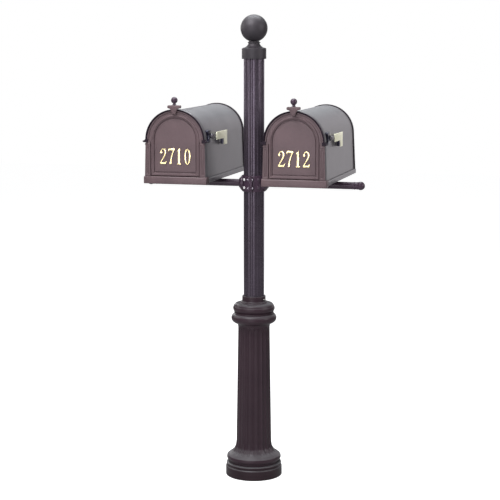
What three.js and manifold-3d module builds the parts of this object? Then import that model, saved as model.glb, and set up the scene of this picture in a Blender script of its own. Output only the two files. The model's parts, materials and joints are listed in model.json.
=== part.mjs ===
// Twin curbside mailboxes on a fluted post with a decorative base.
// Millimetres, +Z up, X along the cross arms, the doors face -Y. The origin is where the
// post's axis meets the ground.
import * as THREE from "three";
import { mergeVertices } from "three/addons/utils/BufferGeometryUtils.js";
import Module from "manifold-3d";

const wasm = await Module();
wasm.setup();

// ---- Driving dimensions ----
const FIT = 0.3; // gap left between pieces that touch

const POST = { r: 38.1, wall: 3.2, flutes: 18, fluteDepth: 1.6, foot: 10.3, top: 1603 };
const PLATE = { r: 80, thick: 10, boltCircle: 62, boltHole: 5.5, spigotTop: 110 };
const PLINTH = { r: 106.2, top: 50, bore: 84 };
const SHAFT = { rFoot: 66, rTop: 59, footTop: 128, top: 596, rimR: 102.4, flutes: 20, fluteDepth: 3 };
const CAPITAL = { bottom: 574, neckR: 44, top: 688, lowerR: 84.7, upperR: 78 };
const CAP = { r: 45.2, bottom: 1571, shoulder: 1610.5, neckR: 20.2, top: 1636 };
const BALL = { r: 50, centre: 1683.2, seat: 1636.3 };

const ARM = { z: 1112, r: 13.35, wall: 2.8, root: 43, end: 378, knobR: 15.6, knobX: 403 };
const CLAMP = { bore: POST.r + FIT, r: 44, halfHeight: 30, split: 1, flange: 5, reach: 57, boltRise: 16 };

const BOX_X = 218; // from the post's axis to a mailbox's centre plane
const SPRING = 1287; // height of the arch's centre
const BODY = { r: 105, halfFoot: 111, wall: 3, foot: 1138.3, front: -245.7, back: 251.7 };
const TRAY = { half: 116, bottom: 1134, thick: 4, top: 1151, front: -240, back: 260 };
const PAN = { half: 104, front: -236, back: 244, top: 1139 };
const FRAME = { front: -276, back: -246, gap: 1, outerR: 110, halfFoot: 114, sillTop: 1156 };
const SILL = { half: 117.5, bottom: 1129.5, front: -279.4, back: -240.5 };
const HOOD = { front: -282, innerR: 101, footZ: 1277.6, footTop: 1284.5, footHalf: 120 };
const PILASTER = { front: -277.6, inner: 93, outer: 110.3, outerFoot: 113.4, top: 1276.6 };
const DOOR = { r: 99, half: 91.5, shoulder: 1278.5, bottom: 1157.5, front: -274, back: -264 };
const PANEL = { r: 79, bottom: 1172 };
const MOULDING = { r: 90.7, proud: 2.5, panelSink: 3 };
const HINGE = { y: -269, z: 1165, rodR: 2.2, boreR: 2.55, half: 105.5 };
const FLAG = { y: -210, z: 1300, x: 117, thick: 3, plateThick: 2.4, boreR: 3.4, shankR: 3 };
const SADDLE = { halfX: 45, halfY: 26, top: 1133.7 };
const DIGITS = { left: "2710", right: "2712" };
const DIGIT = { foot: 1200, height: 57, pitch: 30, thick: 2.2, stem: 6.4, hair: 4 };

const PAINT = { color: 0x4a4044, roughness: 0.45, metalness: 0.2 };
const PAINT_GREY = { color: 0x7c7a7e, roughness: 0.4, metalness: 0.2 };
const BRASS = { color: 0xd9d2a0, roughness: 0.3, metalness: 0.9 };
const STEEL = { color: 0xb8b8bc, roughness: 0.35, metalness: 0.9 };

// ---- Solids: closed geometries in, manifold-3d joins and cuts ----
function solidOf(geometry) {
  const bare = new THREE.BufferGeometry();
  const flat = geometry.index ? geometry.toNonIndexed() : geometry;
  bare.setAttribute("position", flat.getAttribute("position").clone());
  const merged = mergeVertices(bare, 1e-3);
  return new wasm.Manifold(
    new wasm.Mesh({
      numProp: 3,
      vertProperties: merged.attributes.position.array,
      triVerts: new Uint32Array(merged.index.array),
    }),
  );
}

function geometryOf(solid) {
  const { vertProperties, triVerts, numProp, numVert } = solid.getMesh();
  const positions = new Float32Array(numVert * 3);
  for (let i = 0; i < numVert; i++) {
    positions.set(vertProperties.subarray(i * numProp, i * numProp + 3), i * 3);
  }
  const geometry = new THREE.BufferGeometry();
  geometry.setAttribute("position", new THREE.BufferAttribute(positions, 3));
  geometry.setIndex(new THREE.BufferAttribute(triVerts, 1));
  geometry.computeVertexNormals();
  return geometry;
}

const join = (first, ...rest) => rest.reduce((whole, piece) => whole.add(piece), first);
const cut = (first, ...rest) => rest.reduce((whole, piece) => whole.subtract(piece), first);

function box(x0, x1, y0, y1, z0, z1) {
  const geometry = new THREE.BoxGeometry(x1 - x0, y1 - y0, z1 - z0);
  return solidOf(geometry.translate((x0 + x1) / 2, (y0 + y1) / 2, (z0 + z1) / 2));
}

// A rod between two heights; the direction is the axis it runs along.
function rod(direction, r, from, to, segments = 16) {
  const geometry = new THREE.CylinderGeometry(r, r, to - from, segments);
  geometry.translate(0, (from + to) / 2, 0);
  if (direction === "x") geometry.rotateZ(-Math.PI / 2);
  if (direction === "z") geometry.rotateX(Math.PI / 2);
  return solidOf(geometry);
}

// Revolves a closed outline of [radius, height] points about the Z axis. Where a point has
// a third value, that many millimetres of fluting are sunk into the ring there.
function turned(outline, segments = 32, flutes = 0) {
  const area = outline.reduce((sum, [r, z], i) => {
    const [r2, z2] = outline[(i + 1) % outline.length];
    return sum + r * z2 - r2 * z;
  }, 0);
  const loop = area > 0 ? [...outline] : [...outline].reverse();
  const angles = flutes ? fluteAngles(flutes) : evenAngles(segments);
  const positions = [];
  const point = ([r, z, depth = 0], { angle, sink }) => {
    const at = r - depth * sink;
    return [at * Math.cos(angle), at * Math.sin(angle), z];
  };
  loop.forEach((low, i) => {
    const high = loop[(i + 1) % loop.length];
    angles.forEach((here, j) => {
      const next = angles[(j + 1) % angles.length];
      const [a, b, c, d] = [point(low, here), point(low, next), point(high, next), point(high, here)];
      if (low[0] > 0) positions.push(...a, ...b, ...c);
      if (high[0] > 0) positions.push(...a, ...c, ...d);
    });
  });
  const geometry = new THREE.BufferGeometry();
  geometry.setAttribute("position", new THREE.Float32BufferAttribute(positions, 3));
  return solidOf(geometry);
}

function evenAngles(count) {
  return Array.from({ length: count }, (_, i) => ({ angle: (2 * Math.PI * i) / count, sink: 0 }));
}

// Each flute is a round-bottomed groove that takes FLUTE_SHARE of its pitch.
const FLUTE_SHARE = 0.78;
function fluteAngles(flutes, across = [-1, 0, 1]) {
  const pitch = (2 * Math.PI) / flutes;
  return Array.from({ length: flutes }, (_, i) =>
    across.map((u) => ({
      angle: i * pitch + (u * FLUTE_SHARE * pitch) / 2,
      sink: Math.sqrt(1 - u * u),
    })),
  ).flat();
}

// Points on an arc of an outline; angles in degrees, end included.
function arc(r, z, radius, from, to, steps) {
  return Array.from({ length: steps + 1 }, (_, i) => {
    const angle = THREE.MathUtils.degToRad(from + ((to - from) * i) / steps);
    return [r + radius * Math.cos(angle), z + radius * Math.sin(angle)];
  });
}

// A flat shape in X and Z, given depth along Y.
function slab(shape, yFront, yBack, arcSteps = 12) {
  const geometry = new THREE.ExtrudeGeometry(shape, {
    depth: yBack - yFront,
    bevelEnabled: false,
    curveSegments: arcSteps,
  });
  geometry.rotateX(Math.PI / 2);
  return solidOf(geometry.translate(0, yBack, 0));
}

// A flat shape in Y and Z, given width along X.
function plank(shape, x0, x1, arcSteps = 6) {
  const geometry = new THREE.ExtrudeGeometry(shape, {
    depth: x1 - x0,
    bevelEnabled: false,
    curveSegments: arcSteps,
  });
  const yzTurn = new THREE.Matrix4().makeBasis(
    new THREE.Vector3(0, 1, 0),
    new THREE.Vector3(0, 0, 1),
    new THREE.Vector3(1, 0, 0),
  );
  return solidOf(geometry.applyMatrix4(yzTurn).translate(x0, 0, 0));
}

// A round-headed arch: a half circle on straight sides that may splay to the foot.
function arch(r, halfFoot, foot, spring = SPRING) {
  const shape = new THREE.Shape();
  shape.moveTo(-halfFoot, foot);
  shape.lineTo(halfFoot, foot);
  shape.lineTo(r, spring);
  shape.absarc(0, spring, r, 0, Math.PI, false);
  shape.lineTo(-halfFoot, foot);
  return shape;
}

// An arch that steps in to narrower straight sides below its shoulders.
function shoulderedArch(r, half, foot, shoulder) {
  const shape = new THREE.Shape();
  shape.moveTo(-half, foot);
  shape.lineTo(half, foot);
  shape.lineTo(half, shoulder);
  shape.lineTo(r, shoulder);
  shape.lineTo(r, SPRING);
  shape.absarc(0, SPRING, r, 0, Math.PI, false);
  shape.lineTo(-r, shoulder);
  shape.lineTo(-half, shoulder);
  return shape;
}

function polygon(points) {
  return new THREE.Shape(points.map(([a, b]) => new THREE.Vector2(a, b)));
}

// A bolt along Z: its head stands on 0, and its nut is below what it grips.
function hexBolt({ acrossFlats, headThick, shankR, length, nutThick, grip }) {
  const corner = acrossFlats / Math.sqrt(3);
  return join(
    rod("z", corner, 0, headThick, 6),
    rod("z", shankR, -length, FIT, 12),
    rod("z", corner, -grip - nutThick, -grip, 6),
  );
}

// ---- The object's tree of named meshes ----
const object = new THREE.Group();

function add(group, name, solid, finish) {
  const mesh = new THREE.Mesh(geometryOf(solid), new THREE.MeshStandardMaterial(finish));
  mesh.name = name;
  group.add(mesh);
  return mesh;
}

// ---- Post, base and cap ----
function anchorPlate() {
  const holes = [0, 1, 2, 3].map((i) => {
    const angle = Math.PI / 4 + (i * Math.PI) / 2;
    const [x, y] = [PLATE.boltCircle * Math.cos(angle), PLATE.boltCircle * Math.sin(angle)];
    return rod("z", PLATE.boltHole, -1, PLATE.thick + 1, 10).translate([x, y, 0]);
  });
  const spigotR = POST.r - POST.wall - FIT;
  const spigot = rod("z", spigotR, PLATE.thick - 1, PLATE.spigotTop, 20);
  const hollow = rod("z", spigotR - 5, PLATE.thick, PLATE.spigotTop + 1, 16);
  return cut(join(rod("z", PLATE.r, 0, PLATE.thick, 32), spigot), hollow, ...holes);
}

function plinth() {
  return turned([
    [PLINTH.bore, 0],
    [PLINTH.r, 0],
    [PLINTH.r, 33],
    [PLINTH.r - 3, 37.5],
    [PLINTH.r - 5, 40],
    [PLINTH.r - 2.2, 43],
    [PLINTH.r - 2.2, 47],
    [PLINTH.r - 6, PLINTH.top],
    [PLINTH.bore, PLINTH.top],
  ]);
}

function shaft() {
  const bell = new THREE.QuadraticBezierCurve(
    new THREE.Vector2(SHAFT.rimR - 3.5, 77),
    new THREE.Vector2(SHAFT.rFoot + 2, 90),
    new THREE.Vector2(SHAFT.rFoot, SHAFT.footTop),
  );
  const bellPoints = bell.getPoints(5).map((p, i) => [p.x, p.y, [0, 0, 1, 3, 3, 3][i]]);
  return turned(
    [
      [86, PLINTH.top + FIT],
      [94, PLINTH.top + FIT],
      [94, 61],
      [SHAFT.rimR - 1.5, 65],
      [SHAFT.rimR, 70],
      ...bellPoints,
      [SHAFT.rTop, CAPITAL.bottom - FIT, SHAFT.fluteDepth],
      [SHAFT.rTop - 3.2, CAPITAL.bottom - FIT],
      [SHAFT.rTop - 3.2, SHAFT.top],
      [SHAFT.rTop - 8, SHAFT.top],
      [SHAFT.rFoot - 8, SHAFT.footTop],
      [86, 68],
    ],
    0,
    SHAFT.flutes,
  );
}

function capital() {
  return turned([
    [SHAFT.rTop - 2.9, CAPITAL.bottom],
    [SHAFT.rTop + 1.5, CAPITAL.bottom],
    [SHAFT.rTop + 3.5, 582],
    ...arc(CAPITAL.lowerR - 19, 604, 19, -75, 78, 4),
    [71, 624.5],
    ...arc(CAPITAL.upperR - 17, 642.5, 17, -75, 90, 4),
    [CAPITAL.neckR + 3, 659.5],
    [CAPITAL.neckR + 3, 665],
    [CAPITAL.neckR, 668],
    [CAPITAL.neckR, CAPITAL.top],
    [POST.r + FIT, CAPITAL.top],
    [POST.r + FIT, 640],
    [SHAFT.rTop - 2.9, 600],
  ]);
}

function postTube() {
  const inner = POST.r - POST.wall;
  return turned(
    [
      [inner, POST.foot],
      [POST.r, POST.foot, POST.fluteDepth],
      [POST.r, POST.top, POST.fluteDepth],
      [inner, POST.top],
    ],
    0,
    POST.flutes,
  );
}

const STUD_R = 5;
function postCap() {
  return turned([
    [POST.r + FIT, CAP.bottom],
    [CAP.r, CAP.bottom],
    [CAP.r, CAP.shoulder],
    [30, 1620.5],
    [CAP.neckR + 1, 1626.5],
    [CAP.neckR, 1630],
    [CAP.neckR, CAP.top],
    [STUD_R + FIT, CAP.top],
    [STUD_R + FIT, POST.top + 0.5],
    [POST.r + FIT, POST.top + 0.5],
  ], 28);
}

function finialBall() {
  const seatAngle = THREE.MathUtils.radToDeg(Math.asin((BALL.seat - BALL.centre) / BALL.r));
  const skin = arc(0, BALL.centre, BALL.r, seatAngle, 90, 11);
  skin[skin.length - 1][0] = 0;
  const bore = STUD_R + FIT;
  return turned([[bore, BALL.seat], ...skin, [0, BALL.seat + 30], [bore, BALL.seat + 30]], 24);
}

// A headless screw on a level axis, its outer end at the given radius and compass angle.
function radialScrew(r, length, outerRadius, z, degrees, segments = 8) {
  const screw = rod("x", r, outerRadius - length, outerRadius, segments);
  return screw.rotate([0, 0, degrees]).translate([0, 0, z]);
}

const CAPITAL_SCREW = { r: 3, z: 676, angle: -19, outer: CAPITAL.neckR + 2.5, length: 7.8 };
const CAP_SCREW = { r: 2.5, z: 1582, angle: 90, outer: CAP.r + 1.5, length: 7.8 };

function boredFor(solid, { r, z, angle, outer, length }) {
  const hole = radialScrew(r + FIT, length + 4, outer + 2, z, angle, 8);
  return cut(solid, hole);
}

function buildPost() {
  const post = new THREE.Group();
  add(post, "anchor_plate", anchorPlate(), STEEL);
  add(post, "base_plinth", plinth(), PAINT);
  add(post, "base_column", shaft(), PAINT);
  add(post, "column_capital", boredFor(capital(), CAPITAL_SCREW), PAINT);
  add(post, "post_tube", postTube(), PAINT);
  add(post, "post_cap", boredFor(postCap(), CAP_SCREW), PAINT);
  add(post, "finial_ball", finialBall(), PAINT);
  add(post, "finial_stud", rod("z", STUD_R, POST.top + 1, BALL.seat + 28, 12), STEEL);
  for (const [name, s] of [["capital_set_screw", CAPITAL_SCREW], ["cap_set_screw", CAP_SCREW]]) {
    add(post, name, radialScrew(s.r, s.length, s.outer, s.z, s.angle), STEEL);
  }
  return post;
}

// ---- Clamp and cross arms. side is -1 on the left and +1 on the right ----
const CLAMP_SCREW = { angle: 52, r: 3.5, rise: 15, outer: CLAMP.r + 3.5, length: 9 };

function clampHalf(side) {
  const ring = rod("z", CLAMP.r, -CLAMP.halfHeight, CLAMP.halfHeight, 32);
  const ears = box(-CLAMP.split - CLAMP.flange, CLAMP.split + CLAMP.flange, -CLAMP.reach,
    CLAMP.reach, -CLAMP.halfHeight, CLAMP.halfHeight);
  const boss = rod("x", CLAMP.halfHeight, 0, 49, 20);
  const collar = rod("x", ARM.r + 5, 0, 55, 20);
  const socket = rod("x", ARM.r + FIT, ARM.root - 1, 70, 20);
  const half = box(CLAMP.split, 80, -80, 80, -40, 40);
  const bolts = [-1, 1].map((end) =>
    rod("x", 3.4, -20, 20, 8).translate([0, end * (CLAMP.reach - 6), 0]),
  );
  const cross = [-1, 1].flatMap((rise) => bolts.map((b) => b.translate([0, 0, rise * CLAMP.boltRise])));
  const screws = [-1, 1].map((rise) =>
    radialScrew(CLAMP_SCREW.r + FIT, 14, CLAMP.r + 6, rise * CLAMP_SCREW.rise, -CLAMP_SCREW.angle, 8),
  );
  const whole = join(ring, ears, boss, collar);
  const bore = rod("z", CLAMP.bore, -60, 60, 32);
  const right = cut(whole.intersect(half), bore, socket, ...cross, ...screws);
  return (side > 0 ? right : right.mirror([1, 0, 0])).translate([0, 0, ARM.z]);
}

function clampBolt(end, rise) {
  const grip = 2 * (CLAMP.split + CLAMP.flange) + 2 * FIT;
  const size = { acrossFlats: 9, headThick: 4.5, shankR: 3, nutThick: 5 };
  return hexBolt({ ...size, length: grip + 8, grip })
    .rotate([0, 90, 0])
    .translate([grip / 2, end * (CLAMP.reach - 6), ARM.z + rise * CLAMP.boltRise]);
}

function clampScrew(side, rise) {
  const { r, length, outer, angle } = CLAMP_SCREW;
  const right = radialScrew(r, length, outer, ARM.z + rise * CLAMP_SCREW.rise, -angle, 6);
  return side > 0 ? right : right.mirror([1, 0, 0]);
}

function armTube(side) {
  const tube = cut(rod("x", ARM.r, ARM.root, ARM.end, 24), rod("x", ARM.r - ARM.wall, 0, ARM.end + 9, 16));
  return (side > 0 ? tube : tube.mirror([1, 0, 0])).translate([0, 0, ARM.z]);
}

function armFinial(side) {
  const knobFoot = ARM.knobX - ARM.knobR + 3;
  const plug = ARM.r - ARM.wall - FIT;
  const ball = arc(0, ARM.knobX, ARM.knobR, -56, 90, 7);
  ball[ball.length - 1][0] = 0;
  const outline = [
    [0, ARM.end - 16],
    [plug, ARM.end - 16],
    [plug, ARM.end + FIT],
    [ARM.r + 0.4, ARM.end + FIT],
    [ARM.r + 0.4, knobFoot - 4],
    [11, knobFoot - 1],
    ...ball,
  ];
  const upright = turned(outline, 18);
  return upright.rotate([0, side * 90, 0]).translate([0, 0, ARM.z]);
}

function buildArms() {
  const arms = new THREE.Group();
  for (const [label, side] of [["left", -1], ["right", 1]]) {
    add(arms, `clamp_${label}`, clampHalf(side), PAINT);
    add(arms, `arm_${label}`, armTube(side), PAINT);
    add(arms, `arm_finial_${label}`, armFinial(side), PAINT);
    for (const [height, rise] of [["lower", -1], ["upper", 1]]) {
      add(arms, `clamp_screw_${label}_${height}`, clampScrew(side, rise), STEEL);
    }
  }
  for (const [place, end] of [["front", -1], ["rear", 1]]) {
    for (const [height, rise] of [["lower", -1], ["upper", 1]]) {
      add(arms, `clamp_bolt_${place}_${height}`, clampBolt(end, rise), STEEL);
    }
  }
  return arms;
}

// ---- One mailbox, modelled about its own centre plane, X = 0 ----
function bodyShell() {
  const inside = arch(BODY.r - BODY.wall, BODY.halfFoot - BODY.wall, BODY.foot - 1);
  return cut(
    slab(arch(BODY.r, BODY.halfFoot, BODY.foot), BODY.front, BODY.back),
    slab(inside, BODY.front - 1, BODY.back + 1),
  );
}

// The tray's floor has a slightly raised pan between the feet of the shell.
function baseTray() {
  const { half, bottom, thick, top, front, back } = TRAY;
  const inner = BODY.halfFoot + FIT;
  const floor = box(-half, half, front, back, bottom, bottom + thick);
  const pan = box(-PAN.half, PAN.half, PAN.front, PAN.back, bottom + 1, PAN.top);
  const walls = [-1, 1].map((s) => {
    const [x0, x1] = s < 0 ? [-half, -inner] : [inner, half];
    return box(x0, x1, front, back, bottom, top);
  });
  return join(floor, pan, ...walls);
}

const REAR = { rimR: 108, halfFoot: 114.7, rimFront: 245, back: 260.5, recess: 3 };
function rearPanel() {
  const rimFoot = TRAY.top + FIT;
  const rim = slab(arch(REAR.rimR, REAR.halfFoot, rimFoot), REAR.rimFront, REAR.back);
  const shellSeat = arch(BODY.r + FIT, BODY.halfFoot + FIT, BODY.foot - 1);
  const lower = box(-BODY.halfFoot, BODY.halfFoot, BODY.back + FIT, REAR.back, BODY.foot, rimFoot + 1);
  const recess = slab(arch(93, 95, BODY.foot + 16), REAR.back - REAR.recess, REAR.back + 1);
  return join(cut(rim, slab(shellSeat, 200, BODY.back + FIT)), lower).subtract(recess);
}

function hingeRod() {
  return rod("x", HINGE.rodR, -HINGE.half, HINGE.half, 10).translate([0, HINGE.y, HINGE.z]);
}

function hingeBore() {
  const half = HINGE.half + 0.5;
  return rod("x", HINGE.boreR, -half, half, 10).translate([0, HINGE.y, HINGE.z]);
}

function frontFrame() {
  const { front, back, gap, outerR, halfFoot, sillTop } = FRAME;
  const face = slab(arch(outerR, halfFoot, sillTop - 1), front, back);
  const outline = shoulderedArch(DOOR.r + gap, DOOR.half + gap, sillTop, DOOR.shoulder - gap);
  const opening = slab(outline, front - 20, back + 1);
  const hoodRing = slab(arch(outerR, outerR + 0.5, HOOD.footZ), HOOD.front, front + 1);
  const hoodOpening = slab(arch(HOOD.innerR, HOOD.innerR, HOOD.footZ - 1), HOOD.front - 1, front + 2);
  const feet = [-1, 1].map((s) => {
    const [x0, x1] = s < 0 ? [-HOOD.footHalf, -HOOD.innerR] : [HOOD.innerR, HOOD.footHalf];
    return box(x0, x1, HOOD.front, front + 1, HOOD.footZ, HOOD.footTop);
  });
  const pilasters = [-1, 1].map((s) => {
    const { inner, outer, outerFoot, top } = PILASTER;
    const corners = [[inner, sillTop - 1], [outerFoot, sillTop - 1], [outer, top], [inner, top]];
    return slab(polygon(corners.map(([x, z]) => [s * x, z])), PILASTER.front, front + 1);
  });
  const sill = box(-SILL.half, SILL.half, SILL.front, SILL.back, SILL.bottom, sillTop);
  const sillHollow = box(-108, 108, SILL.front + 8, SILL.back + 1, SILL.bottom - 1, sillTop - 6);
  const seat = BODY.halfFoot + FIT;
  const bodyPocket = box(-seat, seat, BODY.front - FIT, 0, BODY.foot - FIT, sillTop + 1);
  const hood = cut(join(hoodRing, ...feet), hoodOpening);
  const casting = join(cut(face, opening), hood, ...pilasters, sill);
  return cut(casting, sillHollow, bodyPocket, hingeBore());
}

function door() {
  const { r, half, shoulder, bottom, front, back } = DOOR;
  const mouldingFront = front - MOULDING.proud;
  const slabs = join(
    slab(shoulderedArch(r, half, bottom, shoulder), front, back),
    slab(arch(MOULDING.r, MOULDING.r, bottom), mouldingFront, front + 1),
  );
  const recess = arch(PANEL.r, PANEL.r, PANEL.bottom);
  const panel = slab(recess, mouldingFront - 1, front + MOULDING.panelSink);
  const turn = HINGE.z - bottom;
  const chamfer = plank(
    polygon([
      [HINGE.y - turn - 2, bottom - 1],
      [HINGE.y - turn * Math.tan(Math.PI / 8), bottom - 1],
      [HINGE.y - turn * Math.tan(Math.PI / 8), bottom],
      [mouldingFront, HINGE.z - turn * Math.tan(Math.PI / 8)],
      [mouldingFront - 1, HINGE.z - turn * Math.tan(Math.PI / 8)],
    ]),
    -r - 1,
    r + 1,
  );
  const heel = plank(
    polygon([
      [back - 2, bottom - 1],
      [back + 1, bottom - 1],
      [back + 1, bottom + 3.5],
    ]),
    -r - 1,
    r + 1,
  );
  return cut(slabs, panel, chamfer, heel, hingeBore());
}

const KEY = {
  front: -288.5,
  back: -283,
  barBack: -269,
  foot: 1379.5,
  waist: 1399,
  top: 1412,
  halfBar: 24,
};
const KNOB = { y: -279, r: 12.6, z: 1428.4, neckR: 5.4 };

// A tapering stem under a bar with round ends, with a root that ties them to the door.
function keystone() {
  const stem = polygon([
    [-5, KEY.foot],
    [5, KEY.foot],
    [13, KEY.waist + 1],
    [-13, KEY.waist + 1],
  ]);
  const end = (KEY.top - KEY.waist) / 2;
  const bar = new THREE.Shape();
  bar.absarc(KEY.halfBar - end, KEY.waist + end, end, -Math.PI / 2, Math.PI / 2, false);
  bar.absarc(-KEY.halfBar + end, KEY.waist + end, end, Math.PI / 2, (3 * Math.PI) / 2, false);
  const root = box(-4.8, 4.8, KEY.back - 1, DOOR.front - FIT, KEY.foot, 1386.3);
  const screwHole = rod("z", 3 + FIT, KEY.top - 8, KEY.top + 1, 12).translate([0, KNOB.y, 0]);
  const face = slab(stem, KEY.front, KEY.back);
  const topBar = slab(bar, KEY.front, KEY.barBack, 4);
  return cut(join(face, topBar, root), screwHole);
}

function knob() {
  const ball = arc(0, KNOB.z, KNOB.r, -65, 90, 6);
  ball[ball.length - 1][0] = 0;
  const outline = [
    [0, KEY.top - 6],
    [3, KEY.top - 6],
    [3, KEY.top + FIT],
    [KNOB.neckR + 2, KEY.top + FIT],
    [KNOB.neckR, KEY.top + 3],
    ...ball,
  ];
  return turned(outline, 14).translate([0, KNOB.y, 0]);
}

function flagPivotBore() {
  return rod("x", FLAG.boreR, FLAG.x - 9, FLAG.x + 10, 12).translate([0, FLAG.y, FLAG.z]);
}

// A cast lug with hollowed ends, so that its side looks like a capital letter I.
function flagBracket() {
  const [y0, y1, z0, z1] = [-248, -198, 1277, 1321];
  const outline = new THREE.Shape();
  outline.moveTo(y0, z0);
  outline.lineTo(y1, z0);
  outline.quadraticCurveTo(y1 - 16, (z0 + z1) / 2, y1, z1);
  outline.lineTo(y0, z1);
  outline.quadraticCurveTo(y0 + 16, (z0 + z1) / 2, y0, z0);
  const frameSide = box(0, FRAME.halfFoot + FIT, -280, FRAME.back + FIT, 1200, 1400);
  const wallSide = slab(arch(BODY.r + FIT, BODY.halfFoot + FIT, BODY.foot), -300, 0, 24);
  return cut(plank(outline, 90, FLAG.x - FIT, 5), frameSide, wallSide, flagPivotBore());
}

const FLAG_FAR = -27;
const PLATE_SHAPE = { near: -163, low: 1283, high: 1311, tabNear: -66, tabLow: 1259 };
function flagArm() {
  const outline = new THREE.Shape();
  outline.absarc(FLAG.y, FLAG.z, 11, Math.PI / 2, (3 * Math.PI) / 2, false);
  outline.lineTo(FLAG_FAR - 8, FLAG.z - 6);
  outline.lineTo(FLAG_FAR - 8, FLAG.z + 6);
  return cut(plank(outline, FLAG.x, FLAG.x + FLAG.thick), flagPivotBore());
}

function flagPlate() {
  const { near, low, high, tabNear, tabLow } = PLATE_SHAPE;
  const outline = polygon([
    [near, low],
    [tabNear, low],
    [tabNear, tabLow],
    [FLAG_FAR, tabLow],
    [FLAG_FAR, high],
    [near, high],
  ]);
  const x0 = FLAG.x + FLAG.thick + FIT;
  return plank(outline, x0, x0 + FLAG.plateThick);
}

function flagScrew() {
  const head = FLAG.x + FLAG.thick + FIT;
  const screw = join(rod("x", 6.5, head, head + 3.2, 16), rod("x", FLAG.shankR, FLAG.x - 8.5, head + 1, 12));
  return screw.translate([0, FLAG.y, FLAG.z]);
}

function flagRest() {
  const wall = slab(arch(BODY.r + FIT, BODY.halfFoot + FIT, BODY.foot), -300, 0, 24);
  return cut(box(100, 122.5, -86, -72, 1262, PLATE_SHAPE.low - FIT), wall);
}

// The saddle is welded along the top of the arm and carries the tray.
function saddle() {
  const { halfX, halfY, top } = SADDLE;
  const groove = rod("x", ARM.r + FIT, -halfX - 1, halfX + 1, 24).translate([0, 0, ARM.z]);
  return cut(box(-halfX, halfX, -halfY, halfY, ARM.z + 2, top), groove);
}

// ---- House numbers: strokes of two widths joined into one raised digit ----
function stroke(points, width) {
  const shape = new THREE.Shape();
  const left = [];
  const right = [];
  points.forEach(([x, z], i) => {
    const [ax, az] = points[Math.max(i - 1, 0)];
    const [bx, bz] = points[Math.min(i + 1, points.length - 1)];
    const length = Math.hypot(bx - ax, bz - az);
    const [nx, nz] = [(az - bz) / length, (bx - ax) / length];
    left.push(new THREE.Vector2(x + (nx * width) / 2, z + (nz * width) / 2));
    right.unshift(new THREE.Vector2(x - (nx * width) / 2, z - (nz * width) / 2));
  });
  shape.setFromPoints([...left, ...right]);
  return shape;
}

function ellipsePoints(x, z, rx, rz, from, to, steps) {
  return Array.from({ length: steps + 1 }, (_, i) => {
    const angle = THREE.MathUtils.degToRad(from + ((to - from) * i) / steps);
    return [x + rx * Math.cos(angle), z + rz * Math.sin(angle)];
  });
}

const { height: H, stem: THICK_STROKE, hair: THIN_STROKE } = DIGIT;
const GLYPHS = {
  0: () => [stroke([...ellipsePoints(0, H / 2, 9, H / 2 - 2.5, 0, 350, 14), [9, H / 2]], THICK_STROKE)],
  1: () => [
    stroke([[0, 1], [0, H]], THICK_STROKE),
    stroke([[0, H - 3], [-7, H - 11]], THIN_STROKE),
    stroke([[-7, 2], [7, 2]], THIN_STROKE),
  ],
  2: () => [
    stroke([...ellipsePoints(0, H - 14, 8.5, 11.5, 200, -30, 9), [-9.5, 3]], THICK_STROKE),
    stroke([[-12, 3], [11, 3]], THICK_STROKE),
  ],
  7: () => [
    stroke([[-11, H - 3], [11.5, H - 3]], THICK_STROKE),
    stroke([[8.5, H - 3], [-1, H / 2], [-3, 0]], THICK_STROKE),
  ],
};

function digit(glyph, place) {
  const back = DOOR.front + MOULDING.panelSink - FIT;
  const pieces = GLYPHS[glyph]().map((shape) => slab(shape, back - DIGIT.thick, back));
  return join(...pieces).translate([(place - 1.5) * DIGIT.pitch, 0, DIGIT.foot]);
}

function buildMailbox(side, label) {
  const mailbox = new THREE.Group();
  mailbox.position.set(side * BOX_X, 0, 0);
  add(mailbox, `body_shell_${label}`, bodyShell(), PAINT_GREY);
  add(mailbox, `base_tray_${label}`, baseTray(), PAINT_GREY);
  add(mailbox, `rear_panel_${label}`, rearPanel(), PAINT);
  add(mailbox, `front_frame_${label}`, frontFrame(), PAINT);
  add(mailbox, `hinge_rod_${label}`, hingeRod(), STEEL);
  add(mailbox, `door_${label}`, door(), PAINT);
  add(mailbox, `door_keystone_${label}`, keystone(), PAINT);
  add(mailbox, `door_knob_${label}`, knob(), PAINT);
  add(mailbox, `flag_bracket_${label}`, flagBracket(), PAINT);
  add(mailbox, `flag_rest_${label}`, flagRest(), PAINT);
  add(mailbox, `flag_screw_${label}`, flagScrew(), STEEL);
  add(mailbox, `flag_arm_${label}`, flagArm(), PAINT_GREY);
  add(mailbox, `flag_plate_${label}`, flagPlate(), BRASS);
  add(mailbox, `arm_saddle_${label}`, saddle(), PAINT);
  [...DIGITS[label]].forEach((glyph, place) => {
    add(mailbox, `digit_${label}_${place + 1}`, digit(glyph, place), BRASS);
  });
  return mailbox;
}

object.add(buildPost(), buildArms(), buildMailbox(-1, "left"), buildMailbox(1, "right"));

export default object;
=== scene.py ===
"""Twin mailboxes on a fluted post: the visual model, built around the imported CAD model."""
import json
import math

import bmesh
import bpy
from mathutils import Matrix, Vector

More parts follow.
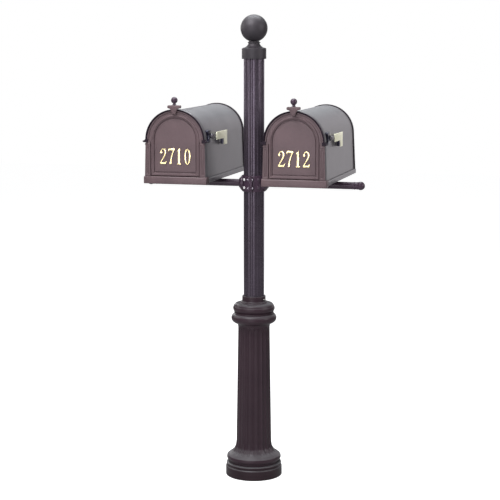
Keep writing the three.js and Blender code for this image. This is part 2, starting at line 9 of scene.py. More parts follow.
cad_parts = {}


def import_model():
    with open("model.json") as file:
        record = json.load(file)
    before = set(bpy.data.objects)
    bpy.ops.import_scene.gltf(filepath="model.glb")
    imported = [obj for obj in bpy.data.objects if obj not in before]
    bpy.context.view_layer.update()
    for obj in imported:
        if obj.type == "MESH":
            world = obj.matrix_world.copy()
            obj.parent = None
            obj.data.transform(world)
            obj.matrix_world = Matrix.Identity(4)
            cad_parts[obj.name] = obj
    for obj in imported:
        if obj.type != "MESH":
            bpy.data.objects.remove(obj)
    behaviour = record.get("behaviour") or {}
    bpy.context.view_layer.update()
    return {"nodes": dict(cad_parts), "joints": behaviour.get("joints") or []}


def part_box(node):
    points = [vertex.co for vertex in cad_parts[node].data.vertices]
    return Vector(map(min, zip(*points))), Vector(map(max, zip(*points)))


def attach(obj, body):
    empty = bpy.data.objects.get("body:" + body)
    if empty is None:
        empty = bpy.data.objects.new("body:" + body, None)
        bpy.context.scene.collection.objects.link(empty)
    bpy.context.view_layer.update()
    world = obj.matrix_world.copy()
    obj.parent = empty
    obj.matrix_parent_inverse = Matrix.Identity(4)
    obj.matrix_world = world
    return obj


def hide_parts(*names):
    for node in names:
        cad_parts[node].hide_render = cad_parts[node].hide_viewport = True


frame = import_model()

MM = 0.001
TAU = 2 * math.pi
WHITE = (1, 1, 1)


def linked(name, data):
    """A new object in the scene."""
    obj = bpy.data.objects.new(name, data)
    bpy.context.scene.collection.objects.link(obj)
    return obj


# -------- materials
# Features per metre of the noises in the coats and the metals.
DRIFT, CHALK_AND_HIGHLIGHT_PATCH, STAIN, EDGE_HIGHLIGHT_PATCH = 11.0, 35.0, 60.0, 70.0
PEEL, FLECK, SAND, SCRATCH = 150.0, 520.0, 620.0, 900.0
# In metres.
SCRATCH_DEPTH, SAND_DEPTH, PEEL_DEPTH = 0.0001, 0.0008, 0.0012
EDGE_HIGHLIGHT_WIDTH = 0.0012  # of the painted highlight strip along an edge
HOLLOW_SHADE_REACH = 0.009  # how near a neighbour must be to keep the chalk and painted highlight off, so hollows stay darker as painted shade

# Light grey for weather chalk on upward faces, which also serves as a painted highlight there.
CHALK_AND_HIGHLIGHT = (0.150, 0.150, 0.155)


def nodes_of(name):
    """A new material with a Principled shader, its node tree and that shader."""
    material = bpy.data.materials.new(name)
    material.use_nodes = True
    tree = material.node_tree
    return material, tree, tree.nodes["Principled BSDF"]


def fill(tree, node, inputs):
    """Sets a node's inputs to numbers or colours, or links them to other nodes' outputs."""
    for name, value in inputs.items():
        socket = node.inputs[name]
        if isinstance(value, bpy.types.NodeSocket):
            tree.links.new(value, socket)
        elif socket.type == "RGBA":
            socket.default_value = (*value, 1)
        else:
            socket.default_value = value


def add(tree, kind, **inputs):
    """A new shader node with its named inputs filled."""
    node = tree.nodes.new("ShaderNode" + kind)
    fill(tree, node, inputs)
    return node


def noise(tree, scale, detail=3.0, stretch=None):
    """A noise texture in object space; scale is features per metre."""
    where = add(tree, "TexCoord").outputs["Object"]
    if stretch:
        where = add(tree, "Mapping", Vector=where, Scale=stretch).outputs["Vector"]
    return add(tree, "TexNoise", Vector=where, Scale=scale, Detail=detail).outputs["Fac"]


def ramp(tree, factor, stops):
    """A colour ramp from two (position, colour or grey) stops."""
    node = add(tree, "ValToRGB", Fac=factor)
    for element, (position, value) in zip(node.color_ramp.elements, stops):
        element.position = position
        grey = isinstance(value, float)
        element.color = (value, value, value, 1) if grey else (*value, 1)
    return node.outputs["Color"]


def bump(tree, height, strength, depth, base=None):
    """A bump of a given depth in metres, on top of another bump if one is given."""
    node = add(tree, "Bump", Strength=strength, Distance=depth, Height=height)
    if base:
        tree.links.new(base, node.inputs["Normal"])
    return node.outputs["Normal"]


def blend(tree, mode, first, second, factor=1.0):
    """Mixes two colours; each value is a constant or another node's output."""
    node = add(tree, "Mix")
    node.data_type = "RGBA"
    node.blend_type = mode
    fill(tree, node, {"Factor": factor, "A": first, "B": second})
    return node.outputs["Result"]


def edge_highlight_mask(tree):
    """White along edges, broken up by noise: where a rounded normal turns away from the face; the coat is
    lightened there as a painted highlight.
    """
    bevel = add(tree, "Bevel", Radius=EDGE_HIGHLIGHT_WIDTH)
    bevel.samples = 6
    turn = add(tree, "VectorMath")
    turn.operation = "DOT_PRODUCT"
    tree.links.new(bevel.outputs["Normal"], turn.inputs[0])
    tree.links.new(add(tree, "NewGeometry").outputs["Normal"], turn.inputs[1])
    edge = ramp(tree, turn.outputs["Value"], [(0.75, 1.0), (0.985, 0.0)])
    patchy = ramp(tree, noise(tree, EDGE_HIGHLIGHT_PATCH, 4.0), [(0.38, 0.25), (0.62, 1.0)])
    return blend(tree, "MULTIPLY", edge, patchy)


def chalk_and_highlight_mask(tree, strength):
    """Grows on open faces that look up, where weather chalks the coat and a painted highlight stands in for
    light from above, and is patchy; hollows are left out, darker as painted shade.
    """
    face = add(tree, "SeparateXYZ", Vector=add(tree, "NewGeometry").outputs["Normal"])
    upward = ramp(tree, face.outputs["Z"], [(0.3, 0.0), (0.85, strength)])
    patchy = ramp(tree, noise(tree, CHALK_AND_HIGHLIGHT_PATCH, 5.0), [(0.3, 0.7), (0.7, 1.0)])
    # Ambient occlusion keeps the lightening out of hollows, which read darker as painted shade.
    occlusion = add(tree, "AmbientOcclusion", Distance=HOLLOW_SHADE_REACH)
    occlusion.samples = 8
    occlusion.only_local = True
    unshaded = ramp(tree, occlusion.outputs["AO"], [(0.62, 0.0), (0.93, 1.0)])
    return blend(tree, "MULTIPLY", blend(tree, "MULTIPLY", upward, patchy), unshaded)


def powder_coat(
    name, dark, light, rough, grain, metallic=0.2, gloss=0.4, edge_highlight=1.5, chalk_and_highlight=0.0, tint=WHITE,
):
    """Satin powder coat over a casting: colour drift, flecks, orange peel, sand grain, a painted highlight
    along the edges, and chalk with a painted highlight on upward faces if asked.
    """
    material, tree, shader = nodes_of(name)
    fleck = noise(tree, FLECK, 3.0)
    base = ramp(tree, noise(tree, DRIFT, 5.0), [(0.3, dark), (0.7, light)])
    speckle = ramp(tree, fleck, [(0.35, 0.80), (0.62, 1.12)])
    flecked = blend(tree, "MULTIPLY", base, speckle, 0.8)
    # A lighter colour along the edges: a painted highlight.
    edge_lit = tuple(min(c * edge_highlight, 1.0) for c in light)
    coat = blend(tree, "MIX", flecked, edge_lit, edge_highlight_mask(tree))
    # Upward faces lightened with chalk and a painted highlight; hollows are left darker as painted shade.
    if chalk_and_highlight:
        coat = blend(tree, "MIX", coat, CHALK_AND_HIGHLIGHT, chalk_and_highlight_mask(tree, chalk_and_highlight))
    roughness = ramp(tree, fleck, [(0.3, rough - 0.06), (0.7, rough + 0.08)])
    sand = bump(tree, noise(tree, SAND, 4.0), grain, SAND_DEPTH)
    peel = bump(tree, noise(tree, PEEL, 2.0), 0.12, PEEL_DEPTH, sand)
    fill(tree, shader, {"Base Color": coat, "Roughness": roughness, "Normal": peel})
    fill(tree, shader, {"Metallic": metallic, "Specular IOR Level": gloss, "Specular Tint": tint})
    return material


def metal(name, color, rough, tarnish, metallic=1.0, brushed=None):
    """Bare metal with fine scratches, along one axis if brushed, and a little uneven tarnish."""
    material, tree, shader = nodes_of(name)
    dull = tuple(c * tarnish for c in color)
    stained = ramp(tree, noise(tree, STAIN, 5.0), [(0.35, dull), (0.65, color)])
    grain = noise(tree, SCRATCH, 2.0, brushed)
    roughness = ramp(tree, grain, [(0.3, rough * 0.8), (0.7, rough * 1.3)])
    scratched = bump(tree, grain, 0.12, SCRATCH_DEPTH)
    fill(tree, shader, {"Base Color": stained, "Roughness": roughness, "Normal": scratched})
    fill(tree, shader, {"Metallic": metallic})
    return material


CAST = powder_coat("cast_powder_coat", (0.078, 0.051, 0.055), (0.102, 0.066, 0.071), 0.46, 0.35)
# Near-black copy of the bronze coat: painted shade for the hood's cove and lip and the back plate's rim.
SHADED_HOOD_COAT = powder_coat(
    "hood_painted_shade_coat", (0.011, 0.006, 0.011), (0.016, 0.009, 0.015), 0.50, 0.3,
    metallic=0.0, gloss=0.16, edge_highlight=1.3,
)
POST_COAT = powder_coat(
    "post_powder_coat", (0.061, 0.048, 0.062), (0.077, 0.061, 0.079), 0.27, 0.10,
    metallic=0.62, gloss=0.36, tint=(0.94, 0.86, 1.0),
)
ARM_COAT = powder_coat(
    "arm_powder_coat", (0.036, 0.021, 0.033), (0.048, 0.028, 0.044), 0.34, 0.12,
    gloss=0.35, edge_highlight=2.2,
)
BALL_COAT = powder_coat(
    "ball_powder_coat", (0.032, 0.028, 0.032), (0.042, 0.036, 0.041), 0.50, 0.2,
    metallic=0.3, gloss=0.3,
)
# Darker copies of the bronze coat: painted shade for the low, dimly lit column, capital and plinth, which
# also carry chalk with a painted highlight.
SHADED_COLUMN_COAT = powder_coat(
    "column_shaded_powder_coat", (0.023, 0.012, 0.017), (0.031, 0.017, 0.023), 0.42, 0.12,
    metallic=0.0, gloss=0.25, edge_highlight=2.0, chalk_and_highlight=0.42,
)
SHADED_PLINTH_COAT = powder_coat(
    "plinth_shaded_powder_coat", (0.018, 0.010, 0.013), (0.025, 0.014, 0.018), 0.44, 0.2,
    metallic=0.0, gloss=0.2, edge_highlight=2.2, chalk_and_highlight=0.55,
)
# Lighter, greyer copy of the bronze coat: a painted reflection of the white backdrop that the same paint
# shows at grazing angles.
SHELL_PAINTED_SHEEN_COAT = powder_coat(
    "shell_painted_sheen_coat", (0.118, 0.109, 0.117), (0.136, 0.127, 0.135), 0.37, 0.10,
    gloss=0.6,
)
IRON = powder_coat(
    "flag_bracket_coat", (0.016, 0.015, 0.028), (0.024, 0.022, 0.040), 0.30, 0.15,
    metallic=0.3, gloss=0.5, edge_highlight=2.5,
)
BOLT_COAT = powder_coat(
    "bolt_coat", (0.10, 0.085, 0.10), (0.14, 0.12, 0.14), 0.42, 0.1,
    metallic=0.5,
)
DULL_SCREW = powder_coat(
    "dull_screw_coat", (0.05, 0.036, 0.048), (0.065, 0.047, 0.062), 0.45, 0.1,
    metallic=0.3, gloss=0.3,
)
BRIGHT_SCREW = metal("bright_screw", (0.92, 0.90, 0.88), 0.40, 0.92, metallic=0.5)
POLISHED_BRASS = metal("polished_brass", (0.93, 0.77, 0.42), 0.25, 0.84)
SATIN_BRASS = metal("satin_brass", (0.96, 0.94, 0.71), 0.42, 0.92, metallic=0.35, brushed=(1, 0.05, 1))
STAINLESS = metal("stainless", (0.80, 0.79, 0.74), 0.18, 0.9)
ZINC = metal("zinc_steel", (0.58, 0.58, 0.60), 0.38, 0.8)


# -------- mesh tools
# A part is (vertices, faces), in millimetres.
ALONG_X = Matrix.Rotation(math.pi / 2, 4, "Y")
AGAINST_X = Matrix.Rotation(-math.pi / 2, 4, "Y")
MIRROR_X = Matrix.Scale(-1, 4, (1, 0, 0))


def loft(loops, wrap=False, caps=True):
    """Quads between closed loops of equal length, with a cap on the first and last loop."""
    count = len(loops[0])
    verts = [p for loop in loops for p in loop]
    faces = []
    for i in range(len(loops) if wrap else len(loops) - 1):
        a, b = i * count, ((i + 1) % len(loops)) * count
        for j in range(count):
            k = (j + 1) % count
            faces.append((a + j, a + k, b + k, b + j))
    if caps:
        start = (len(loops) - 1) * count
        faces.append(tuple(range(count - 1, -1, -1)))
        faces.append(tuple(start + j for j in range(count)))
    return verts, faces


def joined(*parts):
    """One part from several that stay separate shells."""
    verts, faces = [], []
    for part_verts, part_faces in parts:
        base = len(verts)
        verts += list(part_verts)
        faces += [tuple(i + base for i in face) for face in part_faces]
    return verts, faces


def moved(part, x=0.0, y=0.0, z=0.0, turn=None):
    """Turns a part about the origin, then shifts it."""
    matrix = Matrix.Translation((x, y, z)) @ (turn or Matrix.Identity(4))
    return [tuple(matrix @ Vector(v)) for v in part[0]], part[1]


def new_object(name, part, dissolve=False):
    """An object in metres, with doubled points merged and every face turned outwards."""
    mesh = bpy.data.meshes.new(name)
    mesh.from_pydata([tuple(c * MM for c in v) for v in part[0]], [], part[1])
    work = bmesh.new()
    work.from_mesh(mesh)
    bmesh.ops.remove_doubles(work, verts=work.verts, dist=2e-6)
    if dissolve:
        bmesh.ops.dissolve_degenerate(work, edges=work.edges, dist=1e-7)
    bmesh.ops.recalc_face_normals(work, faces=work.faces)
    work.to_mesh(mesh)
    work.free()
    return linked(name, mesh)


def bake(obj):
    """Applies an object's modifiers to its mesh."""
    graph = bpy.context.evaluated_depsgraph_get()
    graph.update()
    baked = bpy.data.meshes.new_from_object(obj.evaluated_get(graph))
    obj.modifiers.clear()
    old, name = obj.data, obj.data.name
    obj.data = baked
    bpy.data.meshes.remove(old)
    baked.name = name


def soften(obj, width, segments):
    """Rounds the hard edges of a piece."""
    mod = obj.modifiers.new("bevel", "BEVEL")
    mod.width = width * MM
    mod.segments = segments
    mod.limit_method = "ANGLE"
    mod.angle_limit = math.radians(35)
    mod.use_clamp_overlap = True
    bake(obj)


def carve(part, *steps):
    """Applies ("UNION" or "DIFFERENCE", part) steps to a part, in order."""
    base = new_object("tool", part)
    for operation, other in steps:
        tool = new_object("tool", other)
        mod = base.modifiers.new("bool", "BOOLEAN")
        mod.operation = operation
        mod.solver = "EXACT"
        mod.object = tool
        bake(base)
        bpy.data.objects.remove(tool)
    verts = [tuple(c / MM for c in v.co) for v in base.data.vertices]
    faces = [tuple(p.vertices) for p in base.data.polygons]
    bpy.data.objects.remove(base)
    return verts, faces


def piece(name, part, material, body, stands_for=None, bevel=0.0, sharp=32, segments=3):
    """Makes one visible piece, smooths it below the sharp angle, and lets it ride on a body."""
    obj = new_object(name, part, dissolve=True)
    obj.data.materials.append(material)
    if bevel:
        soften(obj, bevel, segments)
    for polygon in obj.data.polygons:
        polygon.use_smooth = True
    obj.data.set_sharp_from_angle(angle=math.radians(sharp))
    if stands_for:
        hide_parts(stands_for)
    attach(obj, body)


# -------- outlines
def mirrored(points):
    """The same points on the other side of the middle, in the same order."""
    return [(-p[0], *p[1:]) for p in points]


def arc(cx, cy, r, start, end, steps):
    """Points on an arc, angles in degrees, both ends included."""
    angles = [math.radians(start + (end - start) * i / steps) for i in range(steps + 1)]
    return [(cx + r * math.cos(a), cy + r * math.sin(a)) for a in angles]


def rounded(points, steps=5, closed=True):
    """An outline from (a, b) or (a, b, corner radius) points; an open one keeps its ends."""
    out, n = [], len(points)
    for i, point in enumerate(points):
        r = point[2] if len(point) > 2 else 0
        here = Vector(point[:2])
        if r <= 0 or (not closed and i in (0, n - 1)):
            out.append(tuple(here))
            continue
        before = Vector(points[i - 1][:2]) - here
        after = Vector(points[(i + 1) % n][:2]) - here
        half = before.angle(after) / 2
        reach = min(r / math.tan(half), before.length * 0.49, after.length * 0.49)
        p, q = here + before.normalized() * reach, here + after.normalized() * reach
        for k in range(steps + 1):
            t = k / steps
            out.append(tuple(p * (1 - t) ** 2 + here * 2 * t * (1 - t) + q * t * t))
    return out


def bent(points, steps=4):
    return rounded(points, steps, closed=False)


def lathe(outline, segments, closed=False, skin=None):
    """Turns an outline of (radius, height) about Z. skin(r, z, angle) can vary the radius."""
    loops = []
    for r, z in outline:
        ring = []
        for i in range(segments):
            a = TAU * i / segments
            at = skin(r, z, a) if skin else r
            ring.append((at * math.cos(a), at * math.sin(a), z))
        loops.append(ring)
    return loft(loops, wrap=closed, caps=False)


def block(x0, x1, y0, y1, z0, z1):
    ring = [(x0, y0), (x1, y0), (x1, y1), (x0, y1)]
    return loft([[(x, y, z) for x, y in ring] for z in (z0, z1)])


def prism(outline, near, far, plane="xz"):
    """Gives an outline depth: plane xz runs along Y, and plane yz along X."""
    if plane == "xz":
        return loft([[(a, depth, b) for a, b in outline] for depth in (near, far)])
    return loft([[(depth, a, b) for a, b in outline] for depth in (near, far)])


def rod(r, start, end, segments, turn=None):
    """A round bar along Z, or along the axis that a turn brings it to."""
    return moved(lathe([(0, start), (r, start), (r, end), (0, end)], segments), turn=turn)


# -------- places, in mm from the frame
def box_mm(node):
    """A CAD node's lowest and highest corner."""
    lo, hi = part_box(node)
    return Vector(lo) / MM, Vector(hi) / MM


def middle(node):
    lo, hi = box_mm(node)
    return (lo + hi) / 2


def joint_mm(name):
    joint = next(j for j in frame["joints"] if j["name"] == name)
    return Vector(joint["pos_m"]) / MM


SIDES = {"left": -1, "right": 1}


# -------- base
def base_plinth():
    hi = box_mm("base_plinth")[1]
    r, top, bore = hi.x, hi.z, 84
    neck, lip = r - 5.6, r - 2.2
    outline = rounded(
        [
            (bore, 0), (r - 1.5, 0, 1.0), (r, 1.5, 1.2), (r, 34, 5), (r - 4.6, 38.4, 1.0),
            (neck, 39.2, 0.8), (neck, 41.8, 0.8), (r - 2.6, 42.4, 1.6), (lip, 47.6, 2.4),
            (r - 8, top, 0.8), (bore, top),
        ]
    )
    part = lathe(outline, 128, closed=True)
    piece("plinth", part, SHADED_PLINTH_COAT, "post", "base_plinth", sharp=40)


def flute_share(angle, flutes, width):
    """How far an angle is from the middle of its flute, which ends at 1; width 1 fills the pitch."""
    pitch = TAU / flutes
    return abs((angle + pitch / 2) % pitch - pitch / 2) / (pitch / 2) / width


COLUMN_FLUTES = 20
COLUMN_FLUTE_DEPTH = 3.8
COLUMN_FLUTE_Z = (84.5, 570)  # from the points on the bell to the half rounds under the capital


def column_skin(r, z, angle):
    """Round-bottomed flutes that run out in points at the foot and in half rounds at the top."""
    foot, top = COLUMN_FLUTE_Z
    low = min(max((z - foot) / 30, 0), 1)
    high = min(max((top - z) / 12, 0), 1)
    width = 0.82 * math.sin(low * math.pi / 2) ** 0.8 * math.sqrt(high)
    if width <= 0:
        return r
    share = flute_share(angle, COLUMN_FLUTES, width)
    if share >= 1:
        return r
    return r - COLUMN_FLUTE_DEPTH * min(1, width / 0.45) * math.sqrt(1 - share * share)


def base_column():
    lo, hi = box_mm("base_column")
    rim, foot, top = hi.x, lo.z, hi.z
    shaft_foot, shaft_top, r_foot, r_top = 150, 573, 65.8, 59.2
    bell = bent(
        [
            (91.5, foot), (91.5, 59.5, 2), (rim - 1.6, 62.8, 2.4), (rim, 68, 3), (rim - 1.4, 76.5, 4),
            (92, 83.5, 10), (79, 92, 16), (69.5, 108, 22), (66.2, 128, 30), (r_foot, shaft_foot),
        ],
        8,
    )
    dense = []
    for (r0, z0), (r1, z1) in zip(bell, bell[1:]):
        steps = max(1, int(abs(z1 - z0) / 1.8))
        dense += [(r0 + (r1 - r0) * k / steps, z0 + (z1 - z0) * k / steps) for k in range(steps)]
    run_out = 557  # from here up the rows lie closer, for the flutes' round ends
    heights = [shaft_foot + (run_out - shaft_foot) * i / 12 for i in range(1, 13)]
    heights += [run_out + 1.25 * i for i in range(1, 13)]
    taper = (r_top - r_foot) / (shaft_top - shaft_foot)
    shaft = [(r_foot + taper * (z - shaft_foot), z) for z in heights]
    inside = [(r_top, 573.6), (55.8, 573.9), (55.8, top), (51, top), (58, 128), (86, 68), (86, foot)]
    outline = dense + [bell[-1]] + shaft + inside
    part = lathe(outline, COLUMN_FLUTES * 18, closed=True, skin=column_skin)
    piece("fluted_column", part, SHADED_COLUMN_COAT, "post", "base_column", sharp=50)


def capital():
    lo, hi = box_mm("column_capital")
    foot, top, big = lo.z, hi.z, hi.x
    outline = bent([(56.4, foot), (60.3, foot, 0.6), (60.9, 579, 1.5), (64, 584.5, 4), (73, 586.5, 3)])
    outline += arc(big - 18.6, 604, 18.6, -62, 66, 20)
    outline += bent([(74.8, 622.5), (72.6, 623.4, 0.8), (72.4, 626, 0.8), (74.2, 627.2)])
    outline += arc(61.8, 641.2, 16.4, -54, 24, 12)
    outline += arc(62.6, 648.2, 12.4, 8, 72, 10)
    outline += bent(
        [
            (60, 660.6), (52, 661.2, 2), (50.5, 663, 1), (49.6, 666, 1.6), (45.4, 667, 1), (44, 669, 1),
            (44, top - 1.2, 1.2), (42.6, top, 0.8), (SOCKET_R, top), (SOCKET_R, 640), (56.4, 600),
        ]
    )
    piece("capital", lathe(outline, 128, closed=True), SHADED_COLUMN_COAT, "post", "column_capital", sharp=38)


def set_screw(name, node, material):
    """A socket set screw along the line from the post's axis through its CAD node."""
    lo, hi = box_mm(node)
    mid = middle(node)
    r = (hi.z - lo.z) / 2
    outer = max(math.hypot(x, y) for x in (lo.x, hi.x) for y in (lo.y, hi.y)) - 1.2
    inner, socket = outer - 7.5, outer - 1.8
    outline = bent(
        [(0, inner), (r, inner), (r, outer, 0.5), (r * 0.55, outer, 0.2), (r * 0.5, socket), (0, socket)],
        3,
    )
    turn = Matrix.Rotation(math.atan2(mid.y, mid.x), 4, "Z") @ ALONG_X
    piece(name, moved(lathe(outline, 24), z=mid.z, turn=turn), material, "post", node, sharp=40)


# -------- post
POST_FLUTES = 18
POST_R, POST_BORE = 38.1, 34.9
GRIP_R, SOCKET_R = 38.6, 38.5  # the post's bores in the clamp, and in the capital and cap
STUD_BORE = 5.4


def post_skin(r, z, angle):
    """Shallow flutes in the outer wall only."""
    share = flute_share(angle, POST_FLUTES, 0.74)
    if r < POST_R or share >= 1:
        return r
    return r - 1.15 * (1 - share * share)


def post_tube():
    lo, hi = box_mm("post_tube")
    outline = [(POST_BORE, lo.z), (POST_R, lo.z), (POST_R, hi.z), (POST_BORE, hi.z)]
    part = lathe(outline, POST_FLUTES * 16, closed=True, skin=post_skin)
    piece("post_extrusion", part, POST_COAT, "post", "post_tube", sharp=50)


def post_cap():
    lo, hi = box_mm("post_cap")
    r, foot, top = hi.x, lo.z, hi.z
    roof = box_mm("post_tube")[1].z + 0.5
    outline = rounded(
        [
            (SOCKET_R, foot), (r - 1.2, foot, 0.8), (r, foot + 1.4, 0.8), (r, 1608.6, 2.2),
            (r - 3.5, 1611.2, 1), (34, 1612.8, 6), (26, 1618.5, 10), (21.5, 1625, 6),
            (20.6, 1628.4, 0.8), (23.0, 1629.4, 0.8), (23.4, 1631.2, 0.8), (22.8, 1633.0, 0.8),
            (19.6, 1633.6, 0.6), (19.2, top, 0.3), (STUD_BORE, top), (STUD_BORE, roof), (SOCKET_R, roof),
        ],
        6,
    )
    piece("post_cap_casting", lathe(outline, 112, closed=True), BALL_COAT, "post", "post_cap", sharp=38)


def ball_finial():
    lo, hi = box_mm("finial_ball")
    r = (hi.x - lo.x) / 2 + 0.1
    centre = hi.z - r
    start = math.degrees(math.asin((lo.z - centre) / r))
    bore_top = lo.z + 30
    outline = [(STUD_BORE, lo.z)] + arc(0, centre, r, start, 90, 48)[:-1]
    outline += [(0, hi.z), (0, bore_top), (STUD_BORE, bore_top)]
    piece("ball_finial", lathe(outline, 96), BALL_COAT, "post", "finial_ball", sharp=45)


# -------- clamp and arms
ARM_Z = middle("arm_left").z
SCREW_RISE = 15  # of the clamp's screws above and below the arms' height
SCREW_TURN = math.radians(52)  # from the arms' line round to the screws


def hex_head(r, thick):
    """A chamfered hexagon, its washer face at height 0 and its top at thick."""
    ring = [(math.cos(TAU * (i + 0.5) / 6), math.sin(TAU * (i + 0.5) / 6)) for i in range(6)]
    rows = ((r * 0.94, 0), (r, 0.4), (r, thick - 0.7), (r * 0.86, thick))
    return loft([[(x * s, y * s, z) for x, y in ring] for s, z in rows])


def clamp_half(label, side):
    """Half a ring with two ears, a boss for the arm and four small lobes for the screws."""
    lo, hi = box_mm(f"clamp_{label}")
    tall, split = (hi.z - lo.z) / 2, 1
    wall = [
        (GRIP_R, -tall), (43.4, -tall), (44, -tall + 0.6), (44, tall - 0.6), (43.4, tall), (GRIP_R, tall)
    ]
    other_half = block(-80, split, -80, 80, -60, 60)
    ring = carve(lathe(wall, 96, closed=True), ("DIFFERENCE", other_half))
    ear = rounded(
        [
            (split, -tall + 2, 0.5), (6, -tall + 2, 2), (6, -4, 3), (6, 4, 3), (6, tall - 2, 2),
            (split, tall - 2, 0.5),
        ]
    )
    ears = [prism(ear, y0, y1) for y0, y1 in ((-57, -40), (40, 57))]
    boss = bent(
        [
            (0, 36), (tall - 1, 36, 0.5), (tall - 0.4, 44, 2), (tall - 5, 49, 3), (20.5, 50, 3),
            (18.2, 55, 1.2), (13.65, 55), (13.65, 43), (0, 43),
        ],
        6,
    )
    boss = moved(lathe(boss, 64), turn=ALONG_X)
    boss = carve(boss, ("DIFFERENCE", rod(GRIP_R, -60, 60, 96)))
    lobe = bent([(0, 40), (7.5, 40), (7.5, 44.6, 1.5), (5.2, 45.4, 0.5), (0, 45.4)])
    lobes = []
    for hand in (-1, 1):
        turn = Matrix.Rotation(hand * SCREW_TURN, 4, "Z") @ ALONG_X
        lobes += [moved(lathe(lobe, 32), z=rise * SCREW_RISE, turn=turn) for rise in (-1, 1)]
    whole = carve(ring, *[("UNION", part) for part in (*ears, boss, *lobes)])
    whole = moved(whole, z=ARM_Z, turn=MIRROR_X if side < 0 else None)
    piece(f"clamp_casting_{label}", whole, ARM_COAT, "post", f"clamp_{label}", bevel=0.7, segments=2)


def clamp_screws(label, side):
    """The socket cap screws in the front lobes: bare on the left half, painted over on the right."""
    head = bent(
        [
            (0, 40), (2.6, 40), (2.6, 45.2), (5.0, 45.2, 0.2), (4.9, 46.4, 0.6), (3.2, 47.4, 0.8),
            (1.5, 47.5, 0.2), (1.3, 46.3), (0, 46.3),
        ]
    )
    angle = -SCREW_TURN if side > 0 else math.pi + SCREW_TURN
    turn = Matrix.Rotation(angle, 4, "Z") @ ALONG_X
    finish = BRIGHT_SCREW if side < 0 else DULL_SCREW
    for height, rise in (("lower", -1), ("upper", 1)):
        part = moved(lathe(head, 32), z=ARM_Z + rise * SCREW_RISE, turn=turn)
        name = f"clamp_cap_screw_{label}_{height}"
        piece(name, part, finish, "post", f"clamp_screw_{label}_{height}")


def cross_bolts():
    """Hexagon bolts and nuts that pull the two halves' ears together."""
    grip, across = 6.3, 5.1
    head = moved(hex_head(across, 4.2), x=grip, turn=ALONG_X)
    nut = moved(hex_head(across, 4.6), x=-grip, turn=AGAINST_X)
    bolt = joined(head, nut, rod(3, -12.8, grip, 24, ALONG_X))
    for place in ("front", "rear"):
        for height in ("lower", "upper"):
            node = f"clamp_bolt_{place}_{height}"
            mid = middle(node)
            piece(f"cross_bolt_{place}_{height}", moved(bolt, y=mid.y, z=mid.z), BOLT_COAT, "post", node)


def arm(label, side):
    """A pipe from the clamp outwards, with a ball-ended cap."""
    turn = ALONG_X if side > 0 else AGAINST_X
    lo, hi = box_mm(f"arm_{label}")
    inner, outer = sorted((abs(lo.x), abs(hi.x)))
    r, bore = (hi.z - lo.z) / 2, 10.6
    tube = lathe([(bore, inner), (r, inner), (r, outer), (bore, outer)], 64, closed=True)
    tube = moved(tube, z=ARM_Z, turn=turn)
    piece(f"arm_pipe_{label}", tube, ARM_COAT, "post", f"arm_{label}", sharp=45)

    lo, hi = box_mm(f"arm_finial_{label}")
    inner, outer = sorted((abs(lo.x), abs(hi.x)))
    knob = bent(
        [
            (0, inner), (10.2, inner, 1), (10.2, 378.4), (13.9, 378.4, 0.6), (14.0, 381.5, 0.8),
            (13.3, 383.2, 1), (13.3, 386.0, 3), (13.6, 392.0),
        ]
    )
    knob += arc(0, outer - 15.4, 15.6, -27, 62, 26)
    knob += bent(
        [
            (7.0, outer - 1.4), (5.6, outer - 0.5, 0.6), (4.8, outer - 1.6, 0.5),
            (3.2, outer - 1.5, 0.5), (2.2, outer - 0.4, 0.4), (0, outer - 0.3),
        ],
        3,
    )
    knob = moved(lathe(knob, 64), z=ARM_Z, turn=turn)
    piece(f"arm_knob_{label}", knob, ARM_COAT, "post", f"arm_finial_{label}", sharp=40)


def saddle(label):
    """A cradle that lies on the arm and carries the mailbox."""
    node = f"arm_saddle_{label}"
    top = box_mm(node)[1].z
    side = [(26, top), (26, top - 5, 2), (19, top - 6.5, 4), (15.2, ARM_Z + 2.2, 1)]
    cradle = mirrored(side) + arc(0, ARM_Z, 13.7, 171, 9, 24) + side[::-1]
    part = moved(prism(rounded(cradle, 4), -45, 45, "yz"), x=middle(node).x)
    piece(f"saddle_{label}", part, CAST, "post", node, bevel=0.8)


# -------- mailbox arches
SPRING = 1287.0  # height of the arches' centre
SPLAY = 6.0  # how far each wall of the shell leans out from there to its foot


def arch_stations(foot, splay, steps, legs):
    """Stations along an arch from its right foot to its left foot: (offset x, height, ux, uz)."""
    leg = []
    for i in range(legs):
        t = 1 - i / legs
        leg.append((splay * t, SPRING - (SPRING - foot) * t, 1.0, 0.0))
    angles = [math.pi * i / steps for i in range(steps + 1)]
    round_top = [(0.0, SPRING, math.cos(a), math.sin(a)) for a in angles]
    return leg + round_top + [(-x, z, -ux, uz) for x, z, ux, uz in reversed(leg)]


def arch_sweep(profile, foot, splay, steps, legs):
    """Sweeps a closed (radius, y) profile along an arch that stands on two legs."""
    return loft(
        [
            [(dx + ux * r, y, z + uz * r) for r, y in profile]
            for dx, z, ux, uz in arch_stations(foot, splay, steps, legs)
        ]
    )


def arch_loop(r, half, foot, y, shoulder=None):
    """A closed loop round an arch: along the foot, up the right leg, over, and down the left."""
    at = shoulder or SPRING - 2
    lean = 0 if shoulder else (r - half) / (SPRING - foot)
    leg = [(half + lean * (at - foot) * i / 5, foot + (at - foot) * i / 5) for i in range(6)]
    leg += [(r if shoulder else leg[-1][0], at + 0.02)]
    loop = [(-half + 2 * half * i / 8, y, foot) for i in range(8)]
    loop += [(x, y, z) for x, z in leg]
    loop += [(a, y, b) for a, b in arc(0, SPRING, r, 0, 180, 56)]
    return loop + [(-x, y, z) for x, z in leg[:0:-1]]


